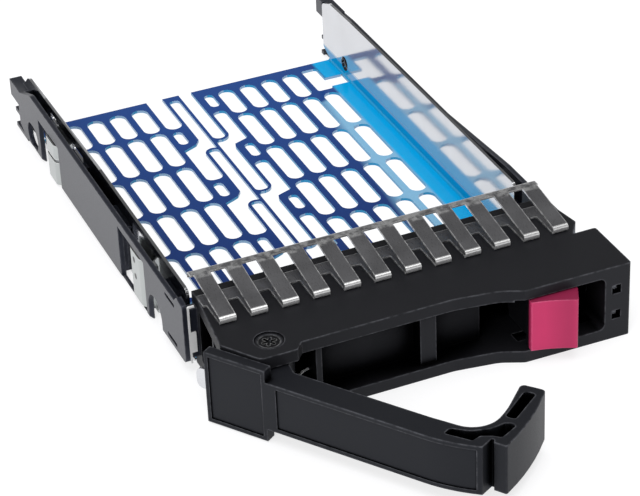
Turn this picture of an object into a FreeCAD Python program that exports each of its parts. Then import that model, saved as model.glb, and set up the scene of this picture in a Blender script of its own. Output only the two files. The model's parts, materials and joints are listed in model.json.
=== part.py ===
import FreeCAD, Part
import math
import os

# Hot swap drive caddy for a 2.5 inch drive. Millimetres, +Z up, +Y to the rear of the cage.
# X = 0 is the middle of the drive bay, Y = 0 the front of the bezel's right block, Z = 0 the underside.

V = FreeCAD.Vector

# Overall sizes that the others follow
bay_width = 70.9
bay_half = bay_width / 2
bezel_height = 16.0
sheet = 0.6

# Tray sheet
bend_radius = 0.5
wall_height = bezel_height
left_wall_rear_drop = 1.3
right_wall_rear_drop = 0.3
left_wall_end_height = wall_height - 5.5
right_wall_end_height = wall_height - 2.4
wall_slope_start = 0.6
wall_slope_end = 16.0
wall_nose_length = 4.5
wall_nose_drop = 0.4
wall_nose_round = 3.0
wall_end_low_z = 2.6
wall_foot_z = 1.2
wall_window_low_z = wall_height - 4.0
wall_window_high_z = wall_height - 2.6
wall_windows = ((89.0, 96.0), (106.5, 110.5))
wall_rear_y = 130.5
floor_rear_y = 127.2
left_wall_front_y = 28.6
right_wall_front_y = 35.2
wall_corner = 1.5
tongue_length = 8.0
tongue_inset = 2.0

# Slots in the tray's floor
slot_width = 3.7
slot_length = 15.2
slot_pitch = 5.2
row_pitch = 16.35
last_row_y = 105.1
rows = 5
right_columns = 5
left_columns = 4
right_column_x = 8.2
left_column_x = -12.5
short_slot_front_y = 113.4
short_slot_gap = 2.5
corner_branch = 4.2
corner_cut_round = 0.6
corner_cut_margin = 0.3

# Meander between the two slotted zones
meander_pitch = 24.4
meander_turns = 4
meander_margin = 2.5
wire = 0.75
left_zone_x = -9.45
pocket_width = 3.8
pocket_round = 0.4
notch_length = 14.2
hairpin_gap = 2.4
hairpin_start = 2.0
hairpin_link = 24.2
link_slope = 1.6
link_round = 0.6
second_pocket_width = 3.0
second_notch_length = 22.5
third_gap = 3.05
third_start = 10.8
third_link = 24.9
third_slope = 1.3
small_slot_width = 2.2
small_slot_length = 5.8
small_slot_inset = 1.3
left_tab_start = 18.6
right_tab_start = 5.9

# Drive screw holes in both walls
drive_hole_radius = 1.7
drive_hole_height = sheet + 3.0
drive_hole_front_y = 41.9
drive_hole_pitch = 76.6

# Side rails
rail_standoff = 2.15
rail_skin = 1.05
rail_height = bezel_height - 2.1
shoulder_height = bezel_height
shoulder_length = 9.0
shoulder_slope = 28.0
shoulder_round = 8.0
left_rail_front_y = 25.5
right_rail_front_y = 33.3
rail_rear_y = 128.6
rail_rear_slope = 10.0
rail_rear_round = 4.0
rail_foot_length = 5.0
rail_foot_z = 2.4
rail_chin = 2.2
rail_edge = 0.9
rail_corner = 0.8
rail_cap_length = 2.9
rail_cap_rise = 1.4
hook_root = 2.0
top_hook_height = 3.9
top_hook_reach = 5.4
top_hook_rise = 0.3
middle_hook_low_z = 4.2
middle_hook_height = 0.9
middle_hook_reach = 2.8
low_hook_low_z = 0.2
low_hook_height = 0.9
low_hook_reach = 3.2
screw_bay_radius = 3.8
rear_bay_radius = 2.9
rear_bay_length = 1.3
front_window_y = 47.0
front_window_length = 15.0
front_window_low = 0.6
front_window_top = rail_height - 1.6
rear_window_y = 100.0
rear_window_length = 13.6
rear_window_top = rail_height - 3.4
rail_pad = 9.0
rail_pad_low_z = 3.2
rail_pad_margin = 1.0
rail_pad_drop = 3.0
rear_pad_length = 7.0
rail_slot_length = 5.2
rail_slot = 0.8
rail_slot_start = 4.4
rail_slot_top_drop = 0.7
rail_slot_low_rise = 0.5

# Contact springs in the rails' windows
contact_sheet = 0.35
contact_lead = 1.7
contact_crown = 5.0
contact_proud = 0.3
contact_rear_length = 12.5
contact_margin = 0.5
contact_foot = 0.4
contact_ramp = 2.2
contact_tail = 0.8
contact_bend = 0.3
contact_crown_bend = 1.0
contact_slant = 2.4
contact_slit = 0.7
contact_slit_length = 7.3
contact_slit_z = 6.3
contact_eye_y = 112.4
contact_eye_z = 9.1
contact_eye_length = 1.9
contact_eye_height = 1.1

# Spring plate on the left rail's front end
clip_inset = 0.95
clip_rim = 0.35
clip_tab = 1.4
clip_tab_low_z = 4.5
clip_tab_high_z = 8.9

# Pivot
pivot_x = 7.05 - bay_half
pivot_y = 6.86

# Shut lever's end, which the button and its window follow
lever_end_margin = 20.5
lever_end_radius = bay_width - lever_end_margin
lever_end_x = pivot_x + lever_end_radius

# Bezel
bezel_rear_y = 28.2
bezel_left_x = -bay_half - 1.45
bezel_neck_left_x = 0.25 - bay_half
bezel_neck_y = 25.0
bezel_front_y = 3.7
nose_corner_y = 9.3
nose_left = 4.9
nose_right = 12.0
nose_step = 1.5
nose_round = 2.0
nose_y = 1.85
front_bow = 12.0
block_start = 2.2
block_start_y = 0.3
front_knee = 6.5
front_knee_y = 2.35
front_knee_bow = 8.0
flank_recess_x = bezel_neck_left_x + 2.4
flank_recess_end_y = 24.6
lip = 2.5
recess_back_y = 8.3
hub_well_back_y = 14.4
web_left_x = -20.3
web_right_x = 0.5
web_front_y = 5.0
web_thin = 1.2
web_thick = 3.3
end_well_left_x = lever_end_x - 7.7
end_well_right_x = lever_end_x + 0.6
end_well_back_y = 20.9
window_left_x = lever_end_x - 4.0
window_right_x = lever_end_x + 14.4
window_top = bezel_height - 2.1
window_corner = 1.2
button_well_back_y = 12.6
block_depth = 13.8
block_step = 4.8
block_step_length = 3.6
arm_step = 0.9
arm_step_length = 9.0
bezel_edge = 0.5
lamp_hole = 1.8
lamp_x = window_right_x + 2.4
lamp_low_z = 5.3
lamp_high_z = bezel_height - 5.1
lamp_sink = 1.5
lamp_dome = 0.5
lamp_dome_radius = 0.5
lamp_tail = 0.6
bezel_right_x = window_right_x + 5.4
bezel_wall = 1.8

# Pivot pin and the lever's spring
pin_radius = 1.6
pin_head_radius = 2.1
pin_head = 0.9
pin_sink = 0.3
pin_running = 0.05
boss_radius = 2.75
boss_sink = 0.25
star_reach = 0.65
star_width = 0.5
coil_radius = 2.35
coil_wire = 0.5
coil_turns = 3
coil_pitch = 0.75
coil_lift = 0.6
coil_tail = 2.6
wire_sides = 8

# Lever, in its shut pose; the rest pose is open_angle further out
open_angle = 55.0
bar_gap = 0.4
head_low_z = 0.3
head_height = bezel_height - 2 * head_low_z - 0.2
head_left_x = pivot_x - 8.8
head_right_x = pivot_x + 4.1
head_plate = 2.1
head_round = 0.5
lever_front_y = -1.3
lever_inner_y = 3.8
lever_end_relief = 1.1
end_knee = 1.35
end_knee_y = 11.0
end_bow = 180.0
end_tip = 3.1
strip_y = 2.65
groove_x = lever_end_x - 3.8
groove_width = 1.1
groove_mouth_y = 0.5
groove_depth = 2.9
groove_taper = 0.3
front_taper = 6.0
front_taper_bow = 30.0
lever_tip_y = 19.9
lever_tip_x = lever_end_x - 6.5
lever_tip_round = 0.9
inner_knee = 5.1
inner_knee_rise = 0.5
inner_bow = 5.5
hook_bow_y = 12.0
hook_bow = 20.0
hub_radius = 4.4
hub_rear = 1.0
mould_pocket_depth = 7.5
label_depth = 0.25
label_rim = 0.85
label_start = 2.2
label_end = 1.0
leg_sweep = 9.0

# Cam plate in the lever's head
cam_height = 4.4
cam_low_z = 3.4
cam_sheet = 0.8
cam_y = 3.6
cam_reach = 5.2
cam_root = 7.0
cam_round = 1.4

# Release button
button_left_x = lever_end_x - 1.4
button_left_y = -0.5
button_nose_x = lever_end_x + 6.8
button_nose_y = -3.5
button_right_x = lever_end_x + 8.6
button_right_y = 0.2
button_dish = 0.35
button_pass = 0.25
hook_gap = 0.35
rib_height = 0.8
rib_width = 2.0
rib_y = 4.2
button_spring_radius = 1.5
button_spring_wire = 0.4
button_spring_turns = 6
button_spring_y = 7.6
button_bore_length = 6.4

# Spring strip on the bezel's top
strip_sheet = 0.3
fingers = 12
finger_pitch = 6.18
finger_width = 3.2
first_finger_x = -32.94
strip_fold_y = 15.0
strip_fold_height = 1.15
strip_bar_front_y = 22.0
strip_bar_rear_y = 25.7
strip_left_x = -35.2
strip_right_x = 37.0
finger_rise_y = 27.4
finger_rise = 3.2
rear_bar_y = 30.0
rear_bar_drop = 1.1

# Screws in the tongue
screw_radius = 1.25
screw_head_radius = 2.2
screw_length = 5.0
screw_x = 26.0
screw_boss = 3.2

# Clearances
seat_gap = 0.3
light_gap = 0.05

# Values worked out from those above
wall_x = bay_half + sheet
rail_x = wall_x + rail_standoff
bezel_arm_x = rail_x + 0.4
cavity_top_z = bezel_height - lip
bar_low_z = lip + bar_gap
bar_top_z = cavity_top_z - bar_gap
tongue_x = bay_half - tongue_inset
screw_y = left_wall_front_y - tongue_length / 2
front_window_end_y = front_window_y + front_window_length
rear_window_end_y = rear_window_y + rear_window_length
drive_hole_rear_y = drive_hole_front_y + drive_hole_pitch
pivot = V(pivot_x, pivot_y, 0)


def place(plane, u, v, depth):
    """A point given on a plane and a depth along that plane's normal."""
    if plane == "xy":
        return V(u, v, depth)
    if plane == "xz":
        return V(u, depth, v)
    return V(depth, u, v)


def outline(points, plane, depth):
    """A face from corner points; a third number rounds that corner with that radius."""
    flat = [(V(p[0], p[1], 0), p[2] if len(p) > 2 else 0) for p in points]
    count = len(flat)
    stations = []
    for i, (corner, radius) in enumerate(flat):
        if not radius:
            stations.append((corner, None, corner))
            continue
        before = (flat[i - 1][0] - corner).normalize()
        after = (flat[(i + 1) % count][0] - corner).normalize()
        half = before.getAngle(after) / 2
        reach = radius / math.tan(half)
        middle = corner + (before + after).normalize() * (radius / math.sin(half) - radius)
        stations.append((corner + before * reach, middle, corner + after * reach))
    edges = []
    for i, (start, middle, end) in enumerate(stations):
        a, m, b = [p and place(plane, p.x, p.y, depth) for p in (start, middle, end)]
        if m:
            edges.append(Part.Arc(a, m, b).toShape())
        following = stations[(i + 1) % count][0]
        c = place(plane, following.x, following.y, depth)
        if b.distanceToPoint(c) > 1e-6:
            edges.append(Part.LineSegment(b, c).toShape())
    return Part.Face(Part.Wire(edges))


def prism(points, plane, start, end):
    """An outline pushed from one depth to another along its plane's normal."""
    return outline(points, plane, start).extrude(place(plane, 0, 0, end - start))


def block(x0, x1, y0, y1, z0, z1):
    return Part.makeBox(x1 - x0, y1 - y0, z1 - z0, V(x0, y0, z0))


def disc(x, y, radius, z0, z1):
    return Part.makeCylinder(radius, z1 - z0, V(x, y, z0))


def cross_pin(x0, x1, y, z, radius):
    """A cylinder that lies along X."""
    return Part.makeCylinder(radius, x1 - x0, V(x0, y, z), V(1, 0, 0))


def oblong(x, y0, y1, width, z0, z1):
    """A slot cutter with round ends that runs along Y."""
    r = width / 2
    corners = [(x - r, y0, r), (x + r, y0, r), (x + r, y1, r), (x - r, y1, r)]
    return prism(corners, "xy", z0, z1)


def ribbon(points, thickness, plane, start, end):
    """A bent strip; points carry the inner bend radius as a third number."""
    half = thickness / 2
    path = [V(p[0], p[1], 0) for p in points]
    bends = [p[2] if len(p) > 2 else 0 for p in points]
    sides = {1: [], -1: []}
    for i, here in enumerate(path):
        back = (here - path[i - 1]).normalize() if i else None
        ahead = (path[i + 1] - here).normalize() if i + 1 < len(path) else None
        a = back or ahead
        b = ahead or back
        normal = (V(-a.y, a.x, 0) + V(-b.y, b.x, 0)).normalize()
        stretch = 1 / normal.dot(V(-a.y, a.x, 0))
        turn = a.x * b.y - a.y * b.x
        for side in sides:
            edge = here + normal * (side * half * stretch)
            inner = side * turn > 0
            radius = bends[i] + (0 if inner else thickness) if bends[i] else 0
            sides[side].append((edge.x, edge.y, radius))
    return prism(sides[1] + sides[-1][::-1], plane, start, end)


def coil(radius, wire_width, pitch, turns):
    """A helical spring about +Z that starts on +X, its wire many-sided to keep it light."""
    path = Part.makeHelix(pitch, pitch * turns, radius)
    corners = []
    for i in range(wire_sides + 1):
        a = 2 * math.pi * i / wire_sides
        corners.append(V(radius + wire_width / 2 * math.cos(a), 0, wire_width / 2 * math.sin(a)))
    section = Part.makePolygon(corners)
    return Part.Wire(path.Edges).makePipeShell([section], True, True)


def turned(shape, angle):
    """The shape turned about the lever's pivot."""
    copy = shape.copy()
    copy.rotate(pivot, V(0, 0, 1), angle)
    return copy


def save(name, shape):
    shape = shape.removeSplitter()
    if not shape.isValid():
        raise RuntimeError(name + " is not a valid solid")
    shape.exportStep("parts/" + name + ".step")


# Tray

def wall_side(front_y, rear_drop, end_height):
    """Side view of one wall with its sloping rear corner."""
    return [
        (front_y, -1),
        (front_y, wall_height, wall_corner),
        (wall_slope_start * wall_rear_y, wall_height),
        (wall_rear_y - wall_slope_end, wall_height - rear_drop),
        (wall_rear_y - wall_nose_length, wall_height - rear_drop - wall_nose_drop, wall_nose_round),
        (wall_rear_y, end_height, wall_corner),
        (wall_rear_y, wall_end_low_z, wall_corner / 2),
        (floor_rear_y, wall_foot_z),
        (floor_rear_y, -1),
    ]


def slot_columns():
    """Every column as its middle and which side of the meander it is on."""
    right = [(right_column_x + i * slot_pitch, 1) for i in range(right_columns)]
    left = [(left_column_x - i * slot_pitch, -1) for i in range(left_columns)]
    return right + left


def floor_slots(z0, z1):
    cutters = []
    for x, side in slot_columns():
        for row in range(rows):
            middle = last_row_y - row * row_pitch
            half = slot_length / 2
            cutters.append(oblong(x, middle - half, middle + half, slot_width, z0, z1))
        last = x > right_column_x + (right_columns - 1.5) * slot_pitch
        if not last:
            end = floor_rear_y - short_slot_gap
            cutters.append(oblong(x, short_slot_front_y, end, slot_width, z0, z1))
    return cutters


def corner_cut(z0, z1):
    """The bent cut in the floor's rear right corner."""
    x = right_column_x + (right_columns - 1) * slot_pitch
    r = slot_width / 2
    front = short_slot_front_y + r / 2
    branch = front + r / 2
    rear = floor_rear_y - short_slot_gap
    edge = bay_half - corner_cut_margin
    return prism([
        (x - r, front, corner_cut_round), (x + r, front, corner_cut_round), (x + r, branch),
        (edge, branch), (edge, branch + corner_branch), (x + r, branch + corner_branch),
        (x + r, rear, corner_cut_round), (x - r, rear, corner_cut_round),
    ], "xy", z0, z1)


def ring(lane, y0, y1, z0, z1):
    """The metal kept round a cut with round ends: as much wider and longer as the wire."""
    width = lane[1] - lane[0] + 2 * wire
    return oblong(sum(lane) / 2, y0 - wire, y1 + wire, width, z0, z1)


def left_cut(hairpin, pocket, rear, z0, z1):
    """A hairpin's slit that bends round the next hairpin's end into a pocket on the left."""
    top = rear - hairpin_start
    link = rear - hairpin_link
    front = rear - meander_pitch - notch_length
    narrow = pocket_round * hairpin_gap
    wide = pocket_round * pocket_width
    cut = prism([
        (hairpin[0], top, narrow), (hairpin[1], top, narrow), (hairpin[1], link - 2 * wire),
        (pocket[1], link - 2 * hairpin_gap), (pocket[1], front, wide), (pocket[0], front, wide),
        (pocket[0], link), (pocket[1] - wire / 2, link + link_slope, link_round),
        (hairpin[0], link + 2 * link_slope),
    ], "xy", z0, z1)
    return cut.cut(ring(hairpin, front, top - meander_pitch, z0, z1))


def right_cut(third, second, rear, z0, z1):
    """A slit on the right that bends round the second notch's end into the next pocket."""
    top = rear - third_start
    link = rear - third_link
    front = rear - meander_pitch - second_notch_length
    narrow = pocket_round * third_gap
    wide = pocket_round * second_pocket_width
    cut = prism([
        (third[0], top - narrow / 2, narrow), (third[1], top, narrow), (third[1], link, link_round),
        (second[1] + wire / 2, link - third_slope, link_round / 2),
        (second[1], link - 2 * third_slope), (second[1], front, wide), (second[0], front, wide),
        (second[0], link + wire), (third[0], link + 2 * third_gap),
    ], "xy", z0, z1)
    return cut.cut(ring(second, rear - second_notch_length, rear, z0, z1))


def meander_cuts(z0, z1):
    """Cuts that leave a row of hairpin wires joining the two zones."""
    pocket = (left_zone_x, left_zone_x + pocket_width)
    hairpin = (pocket[1] + wire, pocket[1] + wire + hairpin_gap)
    second = (hairpin[1] + wire, hairpin[1] + wire + second_pocket_width)
    third = (second[1] + wire, second[1] + wire + third_gap)
    left_tab_x = left_zone_x + small_slot_inset
    right_tab_x = third[0] + small_slot_inset + wire
    half = small_slot_length / 2
    last_front = left_wall_front_y + meander_margin
    cutters = []
    for turn in range(meander_turns):
        rear = floor_rear_y - turn * meander_pitch
        ahead = rear - meander_pitch
        top = rear - hairpin_start
        if ahead - notch_length > last_front:
            cutters.append(left_cut(hairpin, pocket, rear, z0, z1))
        elif top > last_front + hairpin_gap:
            cutters.append(oblong(sum(hairpin) / 2, last_front, top, hairpin_gap, z0, z1))
        top = rear - third_start
        if ahead - second_notch_length > last_front:
            cutters.append(right_cut(third, second, rear, z0, z1))
        elif top > last_front + third_gap:
            cutters.append(oblong(sum(third) / 2, last_front, top, third_gap, z0, z1))
        for x, y in ((left_tab_x, rear - left_tab_start), (right_tab_x, rear - right_tab_start)):
            if y - half > last_front:
                cutters.append(oblong(x, y - half, y + half, small_slot_width, z0, z1))
    open_end = floor_rear_y + slot_length
    first_front = floor_rear_y - notch_length
    second_front = floor_rear_y - second_notch_length
    cutters.append(oblong(sum(pocket) / 2, first_front, open_end, pocket_width, z0, z1))
    cutters.append(oblong(sum(second) / 2, second_front, open_end, second_pocket_width, z0, z1))
    return cutters


def make_tray():
    r_out = bend_radius + sheet
    channel = outline([
        (-wall_x, wall_height), (-wall_x, 0, r_out), (wall_x, 0, r_out), (wall_x, wall_height),
        (bay_half, wall_height), (bay_half, sheet, bend_radius), (-bay_half, sheet, bend_radius),
        (-bay_half, wall_height),
    ], "xz", left_wall_front_y)
    tray = channel.extrude(V(0, wall_rear_y - left_wall_front_y, 0))
    side = bay_half - 0.5
    above = 2 * sheet
    sides = (
        (-1, left_wall_front_y, left_wall_rear_drop, left_wall_end_height),
        (1, right_wall_front_y, right_wall_rear_drop, right_wall_end_height),
    )
    for sign, front_y, drop, end_height in sides:
        waste = block(side, wall_x + 1, left_wall_front_y - 1, wall_rear_y + 1, above, wall_height + 1)
        if sign < 0:
            waste = waste.mirror(V(0, 0, 0), V(1, 0, 0))
        keep = prism(wall_side(front_y, drop, end_height), "yz", sign * side, sign * (wall_x + 1))
        tray = tray.cut(waste.cut(keep))
    tray = tray.cut(block(-wall_x - 1, wall_x + 1, floor_rear_y, wall_rear_y + 1, -1, above))
    tongue_front_y = left_wall_front_y - tongue_length
    tray = tray.fuse(block(-tongue_x, tongue_x, tongue_front_y, left_wall_front_y, 0, sheet))
    cutters = floor_slots(-1, 2) + meander_cuts(-1, 2) + [corner_cut(-1, 2)]
    for y in (drive_hole_front_y, drive_hole_rear_y):
        cutters.append(cross_pin(-wall_x - 1, wall_x + 1, y, drive_hole_height, drive_hole_radius))
    for x in (-screw_x, screw_x):
        cutters.append(Part.makeCone(screw_head_radius, screw_radius, sheet, V(x, screw_y, 0)))
    low = wall_window_low_z
    high = wall_window_high_z
    r = bend_radius
    for start, end in wall_windows:
        corners = [(start, low, r), (end, low, r), (end, high, r), (start, high, r)]
        cutters.append(prism(corners, "yz", -wall_x - 1, -bay_half + 1))
    return tray.cut(cutters)


# Side rails

def side_slot(y, z, length, height):
    """A cutter through the left rail's skin with round ends."""
    r = height / 2
    corners = [(y, z - r, r), (y + length, z - r, r), (y + length, z + r, r), (y, z + r, r)]
    return prism(corners, "yz", -rail_x - 1, -rail_x + rail_skin + 0.1)


def screw_bay(y):
    """Room round a drive screw, open at the rail's lower edge."""
    r = screw_bay_radius
    return cross_pin(-rail_x - 1, -wall_x, y, drive_hole_height, r).fuse(
        block(-rail_x - 1, -wall_x, y - r, y + r, -1, drive_hole_height))


def make_rail(front_y, shoulder, end_height):
    """A rail as it lies on the left; the right one is its mirror image with a shoulder."""
    top = shoulder_height if shoulder else rail_height
    rear = rail_rear_y
    side = [
        (front_y, rail_chin, rail_corner), (drive_hole_front_y, rail_chin), (drive_hole_front_y, 0),
        (rear - rail_foot_length, 0), (rear, rail_foot_z, rail_corner),
        (rear, end_height - rail_corner / 2, rail_corner),
        (rear - rail_rear_slope, rail_height, rail_rear_round),
    ]
    if shoulder:
        start = front_y + shoulder_length
        side += [(start + shoulder_slope, rail_height, shoulder_round), (start, top, shoulder_round)]
        side.append((front_y, top, rail_corner))
    else:
        cap_y = front_y + rail_cap_length
        side += [(cap_y + rail_cap_rise, rail_height), (cap_y, rail_height + rail_cap_rise, rail_corner / 2),
                 (front_y, rail_height + rail_corner, rail_corner)]
    inner = -rail_x + rail_skin
    rail = prism(side, "yz", -rail_x, inner)
    edge = [(-rail_x - 0.1, -0.1), (-rail_x + rail_edge, -0.1), (-rail_x - 0.1, rail_edge)]
    rail = rail.cut(prism(edge, "xz", drive_hole_front_y, rear + 1))
    low = rail_pad_low_z
    high = rail_height - rail_pad_drop
    seat_y = max(front_y, left_wall_front_y)
    middle_pad_y = front_window_end_y + rail_pad_margin
    rear_pad_y = rear_window_y - contact_lead - 2 * seat_gap
    pads = [
        block(inner, -wall_x, seat_y, drive_hole_front_y, low, high),
        block(inner, -wall_x, middle_pad_y, middle_pad_y + rail_pad, low, high),
        block(inner, -wall_x, rear_pad_y - rail_pad, rear_pad_y, low, high),
        block(inner, -wall_x, middle_pad_y, rear_pad_y, rail_edge, low),
        block(inner, -wall_x, rear - rear_pad_length, rear, low + rail_pad_margin,
              end_height - rail_pad_margin),
    ]
    if not shoulder:
        neck_end_y = bezel_rear_y - rail_pad_margin
        pads.append(block(inner, bezel_neck_left_x, front_y, neck_end_y, low, rail_height))
    top_hook_high_z = end_height + top_hook_rise
    hooks = (
        (top_hook_high_z - top_hook_height, top_hook_high_z, top_hook_reach),
        (middle_hook_low_z, middle_hook_low_z + middle_hook_height, middle_hook_reach),
        (low_hook_low_z, low_hook_low_z + low_hook_height, low_hook_reach),
    )
    for z0, z1, reach in hooks:
        skin_end = block(-rail_x, inner, rear - rail_foot_length, rear + reach, z0, z1)
        hook = block(inner, -bay_half, wall_rear_y, rear + reach, z0, z1)
        pads += [skin_end, hook.fuse(block(inner, -wall_x, rear - hook_root, wall_rear_y, z0, z1))]
    rail = rail.fuse(pads)
    span = (-rail_x - 1, -bay_half)
    rear_bay = side_slot(drive_hole_rear_y - rear_bay_radius, drive_hole_height,
                         rear_bay_length + 2 * rear_bay_radius, 2 * rear_bay_radius)
    cutters = [
        block(*span, front_window_y, front_window_end_y, front_window_low, front_window_top),
        block(*span, rear_window_y, rear_window_end_y, -1, rear_window_top),
        screw_bay(drive_hole_front_y),
        rear_bay,
    ]
    if not shoulder:
        y = front_y + rail_slot_start
        top_slot_z = rail_height - rail_slot_top_drop - rail_slot
        low_slot_z = rail_chin + rail_slot_low_rise + rail_slot
        cutters.append(side_slot(y, top_slot_z, rail_slot_length, rail_slot))
        cutters.append(side_slot(y, low_slot_z, rail_slot_length, rail_slot))
    return rail.cut(cutters)


def contact_spring(window_y, length, low, high, proud):
    """A bowed contact strip that lies on the wall and stands out through its window."""
    near = -wall_x - contact_sheet / 2
    far = -rail_x - proud + contact_sheet / 2
    crown_y = window_y + contact_ramp
    bow = [
        (near, window_y - contact_lead), (near, window_y + contact_foot, contact_bend),
        (far, crown_y, contact_crown_bend), (far, crown_y + contact_crown, contact_crown_bend),
        (near, window_y + length - contact_tail, contact_bend), (near, window_y + length),
    ]
    return ribbon(bow, contact_sheet, "xy", low, high)


def make_rail_clip():
    """A thin spring plate on the left rail's front end, with a tab towards the bezel."""
    left = -rail_x + clip_inset
    right = left + clip_rim
    tab = left + clip_tab
    high = rail_height + rail_corner
    y = left_rail_front_y
    return prism([
        (left, rail_chin), (right, rail_chin), (right, clip_tab_low_z), (tab, clip_tab_low_z),
        (tab, clip_tab_high_z), (right, clip_tab_high_z), (right, high - clip_rim),
        (tab, high - clip_rim), (tab, high), (left, high, clip_rim),
    ], "xz", y - contact_sheet, y)


def make_front_spring():
    """The front strip, its rear end slanted so that it is longer at the bottom."""
    low = front_window_low + contact_margin
    high = front_window_top - contact_margin
    spring = contact_spring(front_window_y, contact_rear_length, low, high, contact_proud / 3)
    end = front_window_y + contact_rear_length
    return spring.cut(prism([
        (end, low - 1), (end + 1, low - 1), (end + 1, high + 1), (end - contact_slant, high + 1),
    ], "yz", -rail_x - 1, -wall_x + 1))


def make_rear_spring():
    """The rear strip, with a slit in its front half and a small square eye."""
    high = rear_window_top - contact_margin
    length = rear_window_length - contact_margin
    spring = contact_spring(rear_window_y, length, contact_margin, high, contact_proud)
    slit_end = rear_window_y + contact_foot + contact_slit_length
    half = contact_slit / 2
    eye_half = contact_eye_height / 2
    eye_y = contact_eye_y - contact_eye_length / 2
    span = (-rail_x - 1, -wall_x + 1)
    return spring.cut([
        block(*span, rear_window_y + contact_foot, slit_end, contact_slit_z - half, contact_slit_z + half),
        block(*span, eye_y, eye_y + contact_eye_length, contact_eye_z - eye_half,
              contact_eye_z + eye_half),
    ])


def mirrored(shape):
    return shape.mirror(V(0, 0, 0), V(1, 0, 0))


# Bezel

def bezel_plan():
    """The bezel from above: a stepped nose round the pivot, a long front and the right block."""
    arm_y = right_rail_front_y - seat_gap
    left = bezel_left_x
    right = bezel_right_x
    block_left = lever_end_x - block_start
    return [
        (left, nose_corner_y, bezel_edge), (left + nose_left, nose_y, nose_round),
        (left + nose_right, nose_y, bezel_edge),
        (left + nose_right + nose_step, bezel_front_y, bezel_edge),
        (block_left - 2 * front_knee, bezel_front_y, front_bow),
        (lever_end_x - front_knee, front_knee_y, front_knee_bow),
        (block_left, block_start_y, nose_round), (right, 0, bezel_edge),
        (right, block_depth, bezel_edge), (right - block_step, block_depth),
        (bezel_arm_x + arm_step, block_depth + block_step_length, arm_step),
        (bezel_arm_x, block_depth + arm_step_length, arm_step), (bezel_arm_x, arm_y),
        (wall_x + light_gap, arm_y), (wall_x + light_gap, bezel_rear_y),
        (bezel_neck_left_x, bezel_rear_y), (bezel_neck_left_x, bezel_neck_y),
    ]


def make_bezel():
    bezel = prism(bezel_plan(), "xy", 0, bezel_height)
    front = -5
    second_recess_x = web_right_x + web_thick
    window = [
        (window_left_x, lip), (window_right_x, lip, window_corner),
        (window_right_x, window_top, window_corner), (window_left_x, window_top),
    ]
    rib_low = lip - rib_height - 0.1
    rib_high = window_top + rib_height + 0.1
    hollow_y = hub_well_back_y + bezel_wall
    button_hollow_y = button_well_back_y + bezel_wall
    cutters = [
        block(bezel_left_x - 5, web_left_x, front, hub_well_back_y, lip, cavity_top_z),
        block(web_left_x - 1, end_well_right_x, front, web_front_y, lip, cavity_top_z),
        block(web_left_x + web_thin, web_right_x, front, recess_back_y, lip, cavity_top_z),
        block(second_recess_x, end_well_left_x + 1, front, recess_back_y, lip, cavity_top_z),
        block(end_well_left_x, end_well_right_x, front, end_well_back_y, lip, cavity_top_z),
        prism(window, "xz", front, button_well_back_y),
        block(button_left_x - 0.5, window_right_x - 0.6, rib_y - seat_gap, rib_y + rib_width + seat_gap,
              rib_low, rib_high),
        block(-tongue_x - seat_gap, tongue_x + seat_gap, left_wall_front_y - tongue_length - seat_gap,
              bezel_rear_y + 1, -1, sheet),
        block(bezel_left_x - 1, flank_recess_x, hub_well_back_y + bezel_wall / 2, flank_recess_end_y,
              lip, cavity_top_z),
        block(flank_recess_x + bezel_wall, end_well_left_x - bezel_wall, hollow_y,
              bezel_rear_y + 1, lip, cavity_top_z),
        block(end_well_right_x + bezel_wall, bay_half - bezel_wall, button_hollow_y,
              bezel_rear_y + 1, lip, cavity_top_z),
        disc(pivot_x, pivot_y, pin_radius, pin_sink, bezel_height + 1),
        disc(pivot_x, pivot_y, pin_head_radius, bezel_height - pin_sink - pin_head, bezel_height + 1),
        disc(pivot_x, pivot_y, boss_radius, bezel_height - boss_sink, bezel_height + 1),
    ]
    half = lamp_hole / 2
    for z in (lamp_low_z, lamp_high_z):
        cutters.append(block(lamp_x - half, lamp_x + half, -1, block_depth + 4, z - half, z + half))
    bezel = bezel.cut(cutters)
    for x in (-screw_x, screw_x):
        bezel = bezel.fuse(disc(x, screw_y, screw_boss, lip - 0.2, sheet + screw_length + bezel_wall))
        bezel = bezel.cut(disc(x, screw_y, screw_radius, 0, sheet + screw_length + seat_gap))
    return bezel


def light_pipe(z):
    """A square bar set back in its hole, with a domed tip."""
    half = lamp_hole / 2 - light_gap
    bar = block(lamp_x - half, lamp_x + half, lamp_sink, block_depth + lamp_tail, z - half, z + half)
    return bar.fuse(Part.makeCone(half, lamp_dome_radius, lamp_dome, V(lamp_x, lamp_sink, z), V(0, -1, 0)))


def make_pivot_pin():
    head_z = bezel_height - pin_sink - pin_head
    pin = disc(pivot_x, pivot_y, pin_radius, pin_sink, head_z)
    pin = pin.fuse(disc(pivot_x, pivot_y, pin_head_radius, head_z, head_z + pin_head))
    long = pin_head_radius * star_reach
    half = star_width / 2
    for angle in (0, 60, 120):
        arm = block(-long, long, -half, half, head_z + pin_head / 2, head_z + pin_head + 1)
        arm.rotate(V(0, 0, 0), V(0, 0, 1), angle)
        arm.translate(pivot)
        pin = pin.cut(arm)
    return pin


def make_lever_spring():
    """A coil round the pin, one leg out to the bezel's thin web and one in the lever's hub."""
    z = bar_low_z + coil_lift
    spring = coil(coil_radius, coil_wire, coil_pitch, coil_turns)
    spring.rotate(V(0, 0, 0), V(0, 0, 1), 90)
    spring.translate(V(pivot_x, pivot_y, z))
    y = pivot_y + coil_radius
    leg_length = web_left_x - 0.05 - pivot_x
    leg = cross_pin(pivot_x, pivot_x + leg_length, y, z, coil_wire / 2)
    tail = cross_pin(pivot_x - coil_tail, pivot_x, y, z + coil_turns * coil_pitch, coil_wire / 2)
    return spring.fuse([leg, tail])


# Lever

def on_end(radius, y):
    """X of the point at that height on a circle about the pivot."""
    return pivot_x + math.sqrt(radius ** 2 - (y - pivot_y) ** 2)


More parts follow.
